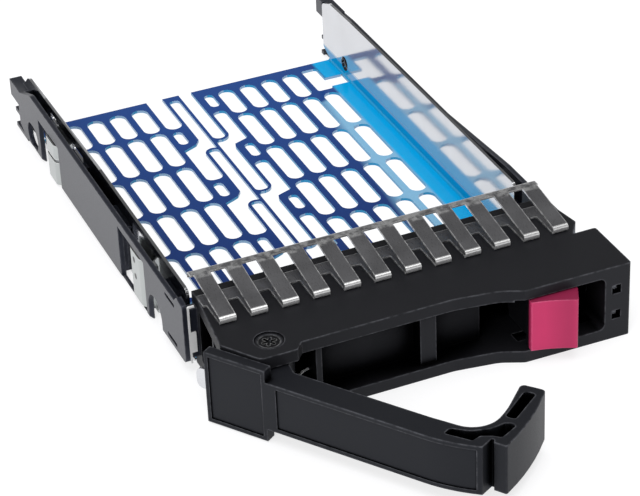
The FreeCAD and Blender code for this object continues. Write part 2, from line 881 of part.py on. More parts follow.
def lever_plan():
    """The shut lever from above; its end face draws in behind the catch so that it clears the button."""
    groove_end = groove_x + groove_width
    groove_bottom_y = groove_mouth_y + groove_depth
    return [
        (head_left_x, lever_front_y, head_round),
        (groove_x - front_taper, lever_front_y, front_taper_bow), (groove_x, groove_mouth_y, groove_taper),
        (groove_x + groove_taper, groove_bottom_y, groove_taper / 2),
        (groove_end - groove_taper, groove_bottom_y, groove_taper / 2),
        (groove_end, strip_y, groove_taper / 2), (on_end(lever_end_radius, strip_y), strip_y, groove_taper),
        (lever_end_x - end_knee, end_knee_y, end_bow), (lever_end_x - end_tip, lever_tip_y, lever_tip_round),
        (lever_tip_x, lever_tip_y, lever_tip_round), (lever_end_x - inner_knee, hook_bow_y, hook_bow),
        (lever_end_x - inner_knee, lever_inner_y + inner_knee_rise, inner_bow),
        (lever_end_x - 2 * inner_knee - inner_bow, lever_inner_y, hook_bow),
        (web_left_x - hub_rear, lever_inner_y, hub_rear), (pivot_x + hub_radius - hub_rear, pivot_y),
        (pivot_x, pivot_y + hub_rear), (pivot_x - hub_radius, pivot_y - hub_rear, hub_rear),
        (head_left_x, lever_front_y + head_plate, head_round / 2),
    ]


def mould_pockets(z0, z1):
    """The two hollows in the top of the lever's hooked end, as offsets from its tip and end."""
    x = lever_end_x
    y = strip_y
    tip = [
        (x - 4.5, y + 7.5, 0.6), (x - 2.9, y + 7.5, 0.5), (x - 3.6, y + 15.6, 0.6),
        (x - 4.9, y + 15.6, 0.6),
    ]
    corner = [
        (x - 11.4, y - 1.8, 0.4), (x - 11.2, y - 0.1, 0.5), (x - 7.8, y + 0.9, 3), (x - 5.1, y + 3.0, 3),
        (x - 3.6, y + 5.7, 0.6), (x - 2.8, y + 6.3, 0.3), (x - 2.2, y + 5.8, 0.4),
        (x - 2.3, y + 1.9, 0.5), (x - 3.6, y + 1.6, 0.4), (x - 5.6, y + 0.5, 0.6),
        (x - 6.1, y - 1.3, 0.4),
    ]
    return [prism(tip, "xy", z0, z1), prism(corner, "xy", z0, z1)]


def label_hollows():
    """Shallow hollows for labels in the head's front and in the bar's front."""
    back = lever_front_y + label_depth
    head = block(head_left_x + label_rim, head_right_x - label_rim, lever_front_y - 1, back,
                 head_low_z + label_rim, head_low_z + head_height - label_rim)
    start = head_right_x + label_start
    end = groove_x - label_end
    slope = (groove_mouth_y - lever_front_y) / front_taper
    bar = prism([
        (start, lever_front_y - 1), (start, back), (groove_x - front_taper, back, front_taper_bow),
        (end, groove_mouth_y - slope * label_end + label_depth), (end, lever_front_y - 1),
    ], "xy", bar_low_z + label_rim, bar_top_z - label_rim)
    return [head, bar]


def make_lever():
    lever = prism(lever_plan(), "xy", bar_low_z, bar_top_z)
    lever = lever.fuse([
        disc(pivot_x, pivot_y, hub_radius, bar_low_z, bar_top_z),
        block(head_left_x, head_right_x, lever_front_y, lever_front_y + head_plate,
              head_low_z, head_low_z + head_height),
    ])
    top = bar_top_z + 1
    coil_room = coil_radius + coil_wire + seat_gap
    coil_top = bar_low_z + coil_lift + coil_turns * coil_pitch + coil_wire
    sweep = [(pivot_x, pivot_y)]
    for angle in (12, 45, 75, 120):
        a = math.radians(angle)
        sweep.append((pivot_x + leg_sweep * math.cos(a), pivot_y + leg_sweep * math.sin(a)))
    leg_top = bar_low_z + coil_lift + coil_wire + seat_gap
    cutters = [
        disc(pivot_x, pivot_y, pin_radius + pin_running, 0, top),
        disc(pivot_x, pivot_y, coil_room, bar_low_z - 1, coil_top),
        prism(sweep, "xy", bar_low_z - 1, leg_top),
        make_cam_plate(),
    ]
    cutters += mould_pockets(bar_top_z - mould_pocket_depth, top)
    cutters += label_hollows()
    return lever.cut(cutters)


def make_cam_plate():
    """The steel tongue, shut: it stands out to the left of the lever's head."""
    tip = head_left_x - cam_reach
    high = cam_low_z + cam_height
    half = cam_sheet / 2
    return prism([
        (tip, cam_low_z, cam_round), (head_left_x + cam_root, cam_low_z),
        (head_left_x + cam_root, high), (tip, high, cam_round),
    ], "xz", cam_y - half, cam_y + half)


def spring_tail_room():
    """Room in the lever's hub, at rest, for the spring's inner leg."""
    z = bar_low_z + coil_lift + coil_turns * coil_pitch
    y = pivot_y + coil_radius
    return block(pivot_x - coil_tail - 0.3, pivot_x, y - 0.55, y + 0.55, z - 0.55, z + 0.55)


# Release button

def button_bore():
    middle = (lip + window_top) / 2
    return button_right_x - button_bore_length, middle


def make_button():
    low = lip + seat_gap
    high = window_top - seat_gap
    clear = lever_end_radius - lever_end_relief + button_pass
    hook_y = strip_y - hook_gap
    shank_x = lever_end_x + seat_gap + light_gap
    rear = button_well_back_y - seat_gap
    edge = bezel_edge
    button = prism([
        (button_left_x, button_left_y, edge / 2), (button_nose_x, button_nose_y, edge),
        (button_right_x, button_right_y, 2 * edge), (button_right_x, rear, edge),
        (shank_x, rear, edge), (shank_x, hook_y), (on_end(clear, hook_y), hook_y, edge / 2),
    ], "xy", low, high)
    chord = V(button_nose_x - button_left_x, button_nose_y - button_left_y, 0)
    radius = (chord.Length ** 2 / 4 + button_dish ** 2) / (2 * button_dish)
    outward = V(chord.y, -chord.x, 0).normalize()
    centre = V(button_left_x, button_left_y, 0) + chord * 0.5 + outward * (radius - button_dish)
    button = button.cut(disc(centre.x, centre.y, radius, low - 1, high + 1))
    rib = block(shank_x + 0.5, button_right_x - 0.5, rib_y, rib_y + rib_width,
                low - rib_height, high + rib_height)
    bore_x, middle = button_bore()
    bore = cross_pin(bore_x, button_right_x + 1, button_spring_y, middle,
                     button_spring_radius + button_spring_wire / 2 + seat_gap)
    return button.fuse(rib).cut(bore)


def make_button_spring():
    """A coil along X from the button's bore to the window's right wall."""
    bore_x, middle = button_bore()
    end = button_spring_wire / 2 + light_gap
    length = window_right_x - bore_x - 2 * end
    spring = coil(button_spring_radius, button_spring_wire, length / button_spring_turns,
                  button_spring_turns)
    spring.rotate(V(0, 0, 0), V(0, 1, 0), 90)
    spring.translate(V(bore_x + end, button_spring_y, middle))
    return spring


# Spring strip

def make_strip():
    half = strip_sheet / 2
    deck = bezel_height + half
    crest = bezel_height + finger_rise
    bar_ribbon = [(strip_bar_front_y, deck), (strip_bar_rear_y, deck)]
    rear_ribbon = [
        (finger_rise_y + 0.6, crest), (rear_bar_y - half, crest, 0.3),
        (rear_bar_y - half, crest - rear_bar_drop),
    ]
    finger = [
        (strip_bar_front_y + 1, deck), (strip_fold_y + half, deck, 0.3),
        (strip_fold_y + half, deck + strip_fold_height, 0.35), (finger_rise_y, crest, 1),
        (finger_rise_y + 1.4, crest),
    ]
    strip = ribbon(bar_ribbon, strip_sheet, "yz", strip_left_x, strip_right_x)
    pieces = [ribbon(rear_ribbon, strip_sheet, "yz", strip_left_x, strip_right_x)]
    for i in range(fingers):
        x = first_finger_x + i * finger_pitch
        pieces.append(ribbon(finger, strip_sheet, "yz", x - finger_width / 2, x + finger_width / 2))
    return strip.fuse(pieces)


def make_screws():
    screws = []
    for x in (-screw_x, screw_x):
        head = Part.makeCone(screw_head_radius, screw_radius, sheet, V(x, screw_y, 0))
        screws.append(head.fuse(disc(x, screw_y, screw_radius, sheet, sheet + screw_length)))
    return Part.makeCompound([screw.removeSplitter() for screw in screws])


os.makedirs("parts", exist_ok=True)
save("tray", make_tray())
save("left_rail", make_rail(left_rail_front_y, False, left_wall_end_height))
save("right_rail", mirrored(make_rail(right_rail_front_y, True, right_wall_end_height)))

front_spring = make_front_spring()
rear_spring = make_rear_spring()
save("rail_clip", make_rail_clip())
save("left_front_spring", front_spring)
save("left_rear_spring", rear_spring)
save("right_front_spring", mirrored(front_spring))
save("right_rear_spring", mirrored(rear_spring))

save("bezel", make_bezel())
save("light_pipe_lower", light_pipe(lamp_low_z))
save("light_pipe_upper", light_pipe(lamp_high_z))
save("bezel_screws", make_screws())
save("emi_strip", make_strip())
save("pivot_pin", make_pivot_pin())
save("lever_spring", make_lever_spring())
save("latch_lever", turned(make_lever(), -open_angle).cut(spring_tail_room()))
save("lever_cam_plate", turned(make_cam_plate(), -open_angle))
save("release_button", make_button())
save("button_spring", make_button_spring())
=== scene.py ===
import json
import math

import bmesh
import bpy
from bpy.props import FloatProperty, FloatVectorProperty, PointerProperty
from mathutils import Matrix, Vector


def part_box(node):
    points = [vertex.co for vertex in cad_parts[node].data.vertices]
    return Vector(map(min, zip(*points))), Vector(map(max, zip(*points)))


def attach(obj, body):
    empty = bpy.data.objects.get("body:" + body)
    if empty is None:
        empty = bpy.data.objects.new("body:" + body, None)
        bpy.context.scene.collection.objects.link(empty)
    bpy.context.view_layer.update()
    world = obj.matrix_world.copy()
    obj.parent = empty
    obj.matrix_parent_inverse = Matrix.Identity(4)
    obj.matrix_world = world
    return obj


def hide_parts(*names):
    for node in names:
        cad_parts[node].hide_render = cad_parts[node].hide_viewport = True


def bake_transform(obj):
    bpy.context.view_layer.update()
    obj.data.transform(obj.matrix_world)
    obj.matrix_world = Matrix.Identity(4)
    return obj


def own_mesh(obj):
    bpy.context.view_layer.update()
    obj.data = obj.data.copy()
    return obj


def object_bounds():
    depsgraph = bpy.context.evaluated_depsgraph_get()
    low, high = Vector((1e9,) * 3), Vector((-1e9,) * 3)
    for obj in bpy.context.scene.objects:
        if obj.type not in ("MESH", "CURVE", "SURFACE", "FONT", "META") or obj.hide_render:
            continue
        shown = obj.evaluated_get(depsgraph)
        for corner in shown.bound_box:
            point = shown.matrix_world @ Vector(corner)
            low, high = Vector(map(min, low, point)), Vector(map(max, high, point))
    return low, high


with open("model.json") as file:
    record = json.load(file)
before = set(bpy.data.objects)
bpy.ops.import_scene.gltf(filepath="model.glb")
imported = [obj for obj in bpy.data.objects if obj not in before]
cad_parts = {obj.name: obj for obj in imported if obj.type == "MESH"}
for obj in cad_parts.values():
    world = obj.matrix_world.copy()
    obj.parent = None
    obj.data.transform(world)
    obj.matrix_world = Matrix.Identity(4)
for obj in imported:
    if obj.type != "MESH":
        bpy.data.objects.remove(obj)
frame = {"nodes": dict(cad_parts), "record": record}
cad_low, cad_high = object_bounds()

bl_info = {
    "name": "Drive caddy dresser",
    "version": (1, 0, 0),
    "blender": (4, 5, 0),
    "location": "3D View > Sidebar > Caddy",
    "description": "Gives a hot swap drive caddy its finishes, small forms and studio",
    "category": "Object",
}

MM = 0.001
WHITE = (1.0, 1.0, 1.0)
# Colour of the strip's painted highlights
HIGHLIGHT_SILVER = (0.92, 0.92, 0.92)
# Colour of the painted shade in deep hollows
SHADE_BLACK = (0.003, 0.003, 0.0035)


def colour(name, description, red, green, blue):
    """A colour property, given as it looks on a screen with 0 to 255 a channel."""
    linear = [((c / 255 + 0.055) / 1.055) ** 2.4 if c > 10 else c / 255 / 12.92
              for c in (red, green, blue)]
    return FloatVectorProperty(name=name, description=description, subtype="COLOR", size=3,
                               min=0.0, max=1.0, default=linear)


def length(name, description, millimetres):
    """A length property."""
    return FloatProperty(name=name, description=description, default=millimetres * MM, min=0.0,
                         unit="LENGTH", subtype="DISTANCE")


def share(name, description, default):
    """A property from 0 to 1."""
    return FloatProperty(name=name, description=description, default=default, min=0.0, max=1.0,
                         subtype="FACTOR")


class CaddyColours(bpy.types.PropertyGroup):
    """Colours of the caddy's finishes."""
    film_deep: colour("Film, front", "Blue film over the front of the floor", 12, 36, 94)
    film_rear: colour("Film, rear", "Blue film over the rear of the floor", 34, 70, 136)
    # Painted reflection: the film's pale end beside the right wall
    pale_reflection: colour("Pale reflection", "Painted pale reflection on the film beside the right wall", 130, 182, 215)
    # Painted highlight: the bright margin at the right wall's foot
    margin_highlight: colour("Margin highlight", "Painted highlight on the film's margin at the right wall's foot", 4, 168, 228)
    # Painted reflection of the blue film low on the walls' inner faces
    foot_reflection: colour("Foot reflection", "Painted reflection of the blue film on the walls' feet", 0, 150, 204)
    # Painted blue light on the sheet's cut edges inside the slots
    slot_light: colour("Slot light", "Painted blue light on the sheet's edges inside the slots", 150, 190, 225)
    steel: colour("Steel", "Rolled steel of the tray's walls, cam plate and screws", 222, 223, 226)
    strip_steel: colour("Strip steel", "Spring strip on the bezel", 150, 150, 153)
    # Near white and mostly matte: painted reflection on the clip, painted glint on the lever's coil
    bright: colour("Painted glint white", "Painted reflection on the clip on the left rail, and painted glint on the lever's coil", 245, 245, 245)
    contact: colour("Contact plating", "Tin plating on the contact springs", 190, 194, 193)
    # The bezel's own black, also used as painted shade in the dimples, behind the button's cap and
    # on the button's coil
    plastic: colour("Bezel plastic", "Bezel; also painted shade in the dimples, behind the button's cap and on the button's coil", 20, 20, 23)
    rail_plastic: colour("Rail plastic", "Side rails", 24, 26, 34)
    lever_plastic: colour("Lever plastic", "Latch lever", 23, 24, 28)
    # Painted highlight along the black mouldings' edges; the pin takes this grey as its own colour
    edge_highlight: colour("Edge highlight grey", "Painted highlight on the black mouldings' edges, and the pin's grey", 84, 85, 90)
    # Partly the pipes' own plastic, partly painted lighter for a glint in the lamp holes
    pipe: colour("Light pipe", "Light pipes' plastic, painted lighter for a glint in the lamp holes", 96, 98, 104)
    pipe_edge: colour("Light pipe, edge", "Glint on the light pipes' edges", 150, 150, 153)
    button: colour("Button", "Release button's cap", 205, 55, 105)
    # Painted highlight along the button cap's edges
    button_highlight: colour("Button edge highlight", "Painted highlight on the edges of the button's cap", 232, 130, 168)


class CaddySizes(bpy.types.PropertyGroup):
    """Sizes of the small forms."""
    edge_round: length("Edge rounding", "Rounding of the moulded edges", 0.25)
    # Width of the painted edge highlight
    highlight_width: length("Edge highlight", "Width of the painted highlight along an edge", 0.4)
    button_round: length("Button rounding", "Rounding of the button's edges", 0.4)
    grain: length("Moulding grain", "Size of one grain of the moulded surface", 0.25)
    brushing: length("Brushing", "Width of one brush line on the steel", 0.12)


class CaddyStudio(bpy.types.PropertyGroup):
    """Camera and light."""
    lens: FloatProperty(name="Lens", description="Focal length on a 36 mm sensor", default=135.9,
                        unit="CAMERA")
    roll: FloatProperty(name="Roll", description="Camera's turn about its own axis",
                        default=math.radians(-2.5), unit="ROTATION", subtype="ANGLE")
    sky: share("Sky", "World's light on the object", 0.6)
    lamp: FloatProperty(name="Lamp", description="Power of the overhead lamp", default=5.0,
                        unit="POWER")


# Node helpers

def new_group(name, inputs, outputs):
    """An empty shader group; inputs are (name, socket type, default)."""
    tree = bpy.data.node_groups.new(name, "ShaderNodeTree")
    for label, kind, default in inputs:
        socket = tree.interface.new_socket(label, in_out="INPUT", socket_type=kind)
        socket.default_value = default
    for label, kind in outputs:
        tree.interface.new_socket(label, in_out="OUTPUT", socket_type=kind)
    given = tree.nodes.new("NodeGroupInput").outputs
    return tree, given, tree.nodes.new("NodeGroupOutput").inputs


def node(tree, kind, inputs=None, **settings):
    """A node with its settings and with its inputs linked or set."""
    made = tree.nodes.new("ShaderNode" + kind)
    for name, value in settings.items():
        setattr(made, name, value)
    for name, value in (inputs or {}).items():
        socket = made.inputs[name]
        if isinstance(value, bpy.types.NodeSocket):
            tree.links.new(value, socket)
        else:
            socket.default_value = value
    return made


def maths(tree, operation, *values, clamp=False):
    """The result of one sum."""
    made = node(tree, "Math", dict(enumerate(values)), operation=operation, use_clamp=clamp)
    return made.outputs[0]


def times(tree, first, *others):
    """The product of all the values."""
    for other in others:
        first = maths(tree, "MULTIPLY", first, other)
    return first


def ramp(tree, value, start, end, low=0.0, high=1.0):
    """Low up to start, high from end on, and straight between them."""
    return node(tree, "MapRange", {"Value": value, "From Min": start, "From Max": end,
                                   "To Min": low, "To Max": high}).outputs[0]


def band(tree, place, limits, origin=0.0):
    """0 to 1 between two limits, which are in mm from the origin."""
    return ramp(tree, place, origin + limits[0] * MM, origin + limits[1] * MM)


def mixed(tree, factor, first, second):
    """A blend of two colours."""
    made = node(tree, "Mix", data_type="RGBA")
    sockets = made.inputs[0], made.inputs[6], made.inputs[7]
    for socket, value in zip(sockets, (factor, first, second)):
        if isinstance(value, bpy.types.NodeSocket):
            tree.links.new(value, socket)
        elif socket == sockets[0]:
            socket.default_value = value
        else:
            socket.default_value = (*value, 1)
    return made.outputs[2]


def own_place(tree):
    """Where a point of the surface is on the part."""
    return node(tree, "TexCoord").outputs["Object"]


def axes(tree, vector):
    """A vector's X, Y and Z."""
    return node(tree, "SeparateXYZ", {0: vector}).outputs


def noise(tree, where, scale, detail, roughness=0.5):
    """Soft noise from 0 to 1."""
    return node(tree, "TexNoise", {"Vector": where, "Scale": scale, "Detail": detail,
                                   "Roughness": roughness}).outputs[0]


def placed(tree, group, **values):
    """A shared group set into a material with that material's own values."""
    return node(tree, "Group", values, node_tree=group).outputs


# Shared effects

# How many grains or brush lines one slow patch of shade spans
GRAINS_A_PATCH = 40.0
LINES_A_PATCH = 60.0

# A spot counts as an edge when less than this share of the rays into the solid run free
EDGE_SHARE = 0.9
# The noise that breaks up the painted edge highlights: how fine it is, and from where to where they
# fade in
HIGHLIGHT_BREAK_SCALE = 900.0
HIGHLIGHT_GAPS = (0.3, 0.6)

# Share of open sky at which a hollow begins to go dark, and at which it is dark
HOLLOW_SKY = (0.82, 0.6)


def make_grain_group():
    """Fine moulded grain: a height and a slow shade that varies over the surface."""
    tree, given, out = new_group(
        "Moulding grain",
        [("Grain size", "NodeSocketFloat", 0.0003)],
        [("Height", "NodeSocketFloat"), ("Shade", "NodeSocketFloat")])
    where = own_place(tree)
    scale = maths(tree, "DIVIDE", 1.0, given["Grain size"])
    slow_scale = maths(tree, "DIVIDE", scale, GRAINS_A_PATCH)
    tree.links.new(noise(tree, where, scale, 3.0, 0.6), out["Height"])
    tree.links.new(noise(tree, where, slow_scale, 2.0), out["Shade"])
    return tree


def make_brush_group():
    """Brush lines along one axis: a height and a slow shade."""
    tree, given, out = new_group(
        "Brushing",
        [("Line width", "NodeSocketFloat", 0.0001), ("Stretch", "NodeSocketVector", (1, 1, 1))],
        [("Height", "NodeSocketFloat"), ("Shade", "NodeSocketFloat")])
    where = own_place(tree)
    drawn = node(tree, "VectorMath", {0: where, 1: given["Stretch"]}, operation="MULTIPLY")
    scale = maths(tree, "DIVIDE", 1.0, given["Line width"])
    slow_scale = maths(tree, "DIVIDE", scale, LINES_A_PATCH)
    tree.links.new(noise(tree, drawn.outputs[0], scale, 4.0, 0.65), out["Height"])
    tree.links.new(noise(tree, where, slow_scale, 2.0), out["Shade"])
    return tree


def make_edge_highlight_group():
    """Mask of the outer edges, broken up by noise, where a highlight is painted."""
    tree, given, out = new_group(
        "Edge highlight",
        [("Width", "NodeSocketFloat", 0.0004), ("Gain", "NodeSocketFloat", 3.0)],
        [("Mask", "NodeSocketFloat"), ("Rounded", "NodeSocketVector")])
    radius = times(tree, given["Width"], 0.5)
    rounded = node(tree, "Bevel", {"Radius": radius}, samples=6).outputs[0]
    within = node(tree, "AmbientOcclusion", {"Distance": given["Width"]}, samples=10,
                  inside=True, only_local=True).outputs["AO"]
    bent = maths(tree, "MULTIPLY", maths(tree, "SUBTRACT", EDGE_SHARE, within), given["Gain"],
                 clamp=True)
    broken = noise(tree, own_place(tree), HIGHLIGHT_BREAK_SCALE, 3.0)
    tree.links.new(times(tree, bent, ramp(tree, broken, *HIGHLIGHT_GAPS)), out["Mask"])
    tree.links.new(rounded, out["Rounded"])
    return tree


def make_hollow_group():
    """Mask of the places deep inside a moulding, which little light reaches."""
    tree, given, out = new_group(
        "Deep hollow",
        [("Depth", "NodeSocketFloat", 0.006)],
        [("Mask", "NodeSocketFloat")])
    sky = node(tree, "AmbientOcclusion", {"Distance": given["Depth"]}, samples=10,
               only_local=True).outputs["AO"]
    tree.links.new(ramp(tree, sky, *HOLLOW_SKY), out["Mask"])
    return tree


def make_smooth_tool():
    """Geometry group that smooths the shading of a whole mesh."""
    tree = bpy.data.node_groups.new("Smooth shading", "GeometryNodeTree")
    for way in ("INPUT", "OUTPUT"):
        tree.interface.new_socket("Geometry", in_out=way, socket_type="NodeSocketGeometry")
    smooth = tree.nodes.new("GeometryNodeSetShadeSmooth")
    tree.links.new(tree.nodes.new("NodeGroupInput").outputs[0], smooth.inputs[0])
    tree.links.new(smooth.outputs[0], tree.nodes.new("NodeGroupOutput").inputs[0])
    return tree


MAKERS = {"grain": make_grain_group, "brush": make_brush_group, "highlight": make_edge_highlight_group,
          "hollow": make_hollow_group, "smooth": make_smooth_tool}
BUILT = {}


def shared(name):
    """A shared group, built when it is first used."""
    if name not in BUILT:
        BUILT[name] = MAKERS[name]()
    return BUILT[name]


# Materials

# Height of the relief, as a share of one grain or brush line
RELIEF = 0.3
# How much lighter plastic is in the light patches of its grain, and how its roughness varies
GRAIN_LIFT = 1.25
GRAIN_ROUGHNESS = 0.07
# How a metal's roughness varies with its brush lines, as shares of it
BRUSH_ROUGHNESS = (0.6, 1.4)
EDGE_HIGHLIGHT_GAIN = 4.0


def new_material(name):
    """A material, its nodes and its shader."""
    material = bpy.data.materials.new(name)
    material.use_nodes = True
    tree = material.node_tree
    shader = next(n for n in tree.nodes if n.type == "BSDF_PRINCIPLED")
    return material, tree, shader


def assign(material, *names):
    """Gives these CAD nodes this one material."""
    for name in names:
        mesh = frame["nodes"][name].data
        mesh.materials.clear()
        mesh.materials.append(material)


def plastic(name, base, roughness, sizes, edge_highlight, gloss=0.5, bump=0.2, highlight_gain=2.5,
            hollow=0.0, cast=(0.86, 0.9, 1.0), tint=None):
    """Moulded plastic with fine grain, slow shade changes and painted highlights along its edges.

    Hollow is how deep a hollow has to be for painted shade to darken it, if any does. Cast colours
    the gloss.
    """
    material, tree, shader = new_material(name)
    grain = placed(tree, shared("grain"), **{"Grain size": sizes.grain})
    highlight = placed(tree, shared("highlight"), **{"Width": sizes.highlight_width, "Gain": highlight_gain})
    lighter = [min(1.0, c * GRAIN_LIFT + 0.001) for c in base]
    body = mixed(tree, grain["Shade"], base, lighter)
    # Painted highlight along the outer edges
    body = mixed(tree, highlight["Mask"], body, edge_highlight)
    if tint:
        body = tint(tree, body)
    # Painted shade: deep hollows go near black, and turn metallic so that no diffuse light shows in
    # them
    if hollow:
        deep = placed(tree, shared("hollow"), **{"Depth": hollow})["Mask"]
        body = mixed(tree, deep, body, SHADE_BLACK)
        tree.links.new(deep, shader.inputs["Metallic"])
    tree.links.new(body, shader.inputs["Base Color"])
    shader.inputs["Specular IOR Level"].default_value = gloss
    shader.inputs["Specular Tint"].default_value = (*cast, 1)
    rough = ramp(tree, grain["Height"], 0.0, 1.0, roughness - GRAIN_ROUGHNESS,
                 roughness + GRAIN_ROUGHNESS)
    tree.links.new(rough, shader.inputs["Roughness"])
    relief = node(tree, "Bump", {"Height": grain["Height"], "Strength": bump,
                                 "Distance": sizes.grain * RELIEF, "Normal": highlight["Rounded"]})
    tree.links.new(relief.outputs[0], shader.inputs["Normal"])
    return material


def brushed(tree, shader, brush, line_width, bump, rough_low, rough_high):
    """Links the brush lines to the shader's roughness and relief."""
    rough = ramp(tree, brush["Height"], 0.0, 1.0, rough_low, rough_high)
    tree.links.new(rough, shader.inputs["Roughness"])
    relief = node(tree, "Bump", {"Height": brush["Height"], "Strength": bump,
                                 "Distance": line_width * RELIEF})
    tree.links.new(relief.outputs[0], shader.inputs["Normal"])


def metal(name, base, roughness, line_width, stretch, bump=0.1, contrast=0.3, tint=None,
          shine=1.0, edge=0.0):
    """Metal with brush lines, slow stains and, where edge is a width, painted highlights along its
    edges.
    """
    material, tree, shader = new_material(name)
    brush = placed(tree, shared("brush"), **{"Line width": line_width, "Stretch": stretch})
    darker = [c * (1 - contrast) for c in base]
    body = mixed(tree, brush["Shade"], darker, base)
    if edge:
        highlight = placed(tree, shared("highlight"), **{"Width": edge, "Gain": EDGE_HIGHLIGHT_GAIN})
        # Painted highlight along the edges
        body = mixed(tree, highlight["Mask"], body, WHITE)
    if tint:
        body = tint(tree, body)
    tree.links.new(body, shader.inputs["Base Color"])
    low, high = BRUSH_ROUGHNESS
    brushed(tree, shader, brush, line_width, bump, roughness * low, roughness * high)
    shader.inputs["Metallic"].default_value = shine
    return material


# Tray's finish, with lengths in mm

SHEET = 0.6
FILM_SHADE = (20.0, 115.0)
# The painted pale reflection's end drifts to the right by this share of the way to the rear
FILM_LEAN = 0.07
PALE_REFLECTION_BAND = (16.5, 19.5)
MARGIN_HIGHLIGHT_BAND = (30.6, 31.4)
FOOT_REFLECTION_BAND = (3.4, 2.6)
# Behind these limits the painted pale reflection lies further right
REAR_ROW = (109.0, 112.0)
REAR_ROW_SHIFT = 6.0
FILM_SHINE = 0.03
# Metal share of the walls' inner faces; the rest shows the steel as matte, which paints them
# lighter than the outer faces
INNER_WALL_SHINE = 0.7
TRAY_ROUGHNESS = (0.05, 0.13)


def film_colours(tree, colours, place):
    """The film, from navy at the left to a painted pale reflection and a painted bright margin at
    the right wall's foot.
    """
    lean = times(tree, place["Y"], FILM_LEAN)
    across = maths(tree, "SUBTRACT", place["X"], lean)
    shift = times(tree, band(tree, place["Y"], REAR_ROW), REAR_ROW_SHIFT * MM)
    across = maths(tree, "SUBTRACT", across, shift)
    film = mixed(tree, band(tree, place["Y"], FILM_SHADE), colours.film_deep, colours.film_rear)
    # Painted reflection: the film turns pale towards the right wall
    film = mixed(tree, band(tree, across, PALE_REFLECTION_BAND), film, colours.pale_reflection)
    # Painted highlight: a bright margin at the right wall's foot
    return mixed(tree, band(tree, place["X"], MARGIN_HIGHLIGHT_BAND), film, colours.margin_highlight)


def tray_finish(colours, sizes):
    """Blue film on the floor's upper side, bare steel on the walls, painted blue light on the cut
    edges in the slots and a painted reflection of the film on the walls' feet.
    """
    material, tree, shader = new_material("Film and rolled steel")
    sheet = SHEET * MM
    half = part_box("tray")[1].x - sheet
    place = axes(tree, own_place(tree))
    facing = axes(tree, node(tree, "NewGeometry").outputs["True Normal"])
    brush = placed(tree, shared("brush"), **{"Line width": sizes.brushing, "Stretch": (1, 0.04, 1)})

    # Where each finish lies
    up = ramp(tree, facing["Z"], 0.3, 0.6)
    low = maths(tree, "LESS_THAN", place["Z"], sheet * 1.05)
    on_top = times(tree, up, low)
    upright = maths(tree, "LESS_THAN", maths(tree, "ABSOLUTE", facing["Z"]), 0.3)
    on_floor = maths(tree, "LESS_THAN", maths(tree, "ABSOLUTE", place["X"]), half - sheet)
    # The cut edges in the slots get painted blue light
    in_slot = times(tree, upright, low, on_floor)
    inner = maths(tree, "LESS_THAN", times(tree, facing["X"], place["X"]), 0.0)
    # Painted reflection of the blue film, low on the walls' inner faces
    reflected_foot = times(tree, band(tree, place["Z"], FOOT_REFLECTION_BAND), inner)

    steel = mixed(tree, brush["Shade"], [c * 0.85 for c in colours.steel], colours.steel)
    base = mixed(tree, on_top, steel, film_colours(tree, colours, place))
    base = mixed(tree, in_slot, base, colours.slot_light)
    base = mixed(tree, reflected_foot, base, colours.foot_reflection)
    tree.links.new(base, shader.inputs["Base Color"])

    # The film and the painted light on the slot edges and the walls' feet are matte
    film_and_painted = maths(tree, "MAXIMUM", on_top, maths(tree, "MAXIMUM", in_slot, reflected_foot))
    bare = maths(tree, "SUBTRACT", 1.0, times(tree, film_and_painted, 1 - FILM_SHINE))
    # Painted light: the walls' inner faces are made partly matte, so they look lighter than the
    # outer faces
    inner_lightened = maths(tree, "SUBTRACT", 1.0, times(tree, inner, 1 - INNER_WALL_SHINE))
    tree.links.new(times(tree, bare, inner_lightened), shader.inputs["Metallic"])
    brushed(tree, shader, brush, sizes.brushing, 0.06, *TRAY_ROUGHNESS)
    return material


# Painted shade and highlights on single pieces, with lengths in mm

# From the button's left end, where the painted shade down the hollow of its face begins and ends
CAP_SHADE_RISE = (2.5, 6.5)
CAP_SHADE_FALL = (9.0, 7.2)
# From the button's front, where its cap ends and the painted black shade behind it begins
CAP_SHADE_BACK = (3.6, 4.4)

# Y and Z of the dimples in the front contact springs, and the soft rim of their painted shade from
# the middle
DIMPLES = ((52.4, 10.0), (52.2, 6.3))
DIMPLE_SHADE_RIM = (0.75, 0.55)

# From the strip's front, top and rear, where its painted highlights lie
TIP_HIGHLIGHT = (0.75, 0.5)
CREST_HIGHLIGHT = (-0.12, -0.04)
REAR_HIGHLIGHT = (-0.8, -0.5)
CREST_HIGHLIGHT_SCALE = 800.0


def cap_shade(colours):
    """Painted shade: black behind the cap, and a deeper red on its top and down the hollow of its
    face.
    """
    left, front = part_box("release_button")[0].xy

    def tint(tree, body):
        place = axes(tree, own_place(tree))
        # Painted shade down the hollow of the face
        rise = band(tree, place["X"], CAP_SHADE_RISE, left)
        fall = band(tree, place["X"], CAP_SHADE_FALL, left)
        body = mixed(tree, times(tree, rise, fall, 0.4), body, [c * 0.45 for c in colours.button])
        # Painted shade on the faces that look up
        up = axes(tree, node(tree, "NewGeometry").outputs["Normal"])["Z"]
        body = mixed(tree, ramp(tree, up, 0.5, 0.9), body, [c * 0.4 for c in colours.button])
        # Painted black shade behind the cap
        return mixed(tree, band(tree, place["Y"], CAP_SHADE_BACK, front), body, colours.plastic)

    return tint


def dimple_shade(colours):
    """Painted shade: two dark dimples in each front contact spring."""
    def tint(tree, body):
        flat = node(tree, "VectorMath", {0: own_place(tree), 1: (0, 1, 1)}, operation="MULTIPLY")
        for y, z in DIMPLES:
            away = node(tree, "VectorMath", {0: flat.outputs[0], 1: (0, y * MM, z * MM)},
                        operation="DISTANCE")
            near = band(tree, away.outputs["Value"], DIMPLE_SHADE_RIM)
            # Painted shade in the dimple
            body = mixed(tree, near, body, colours.plastic)
        return body

    return tint


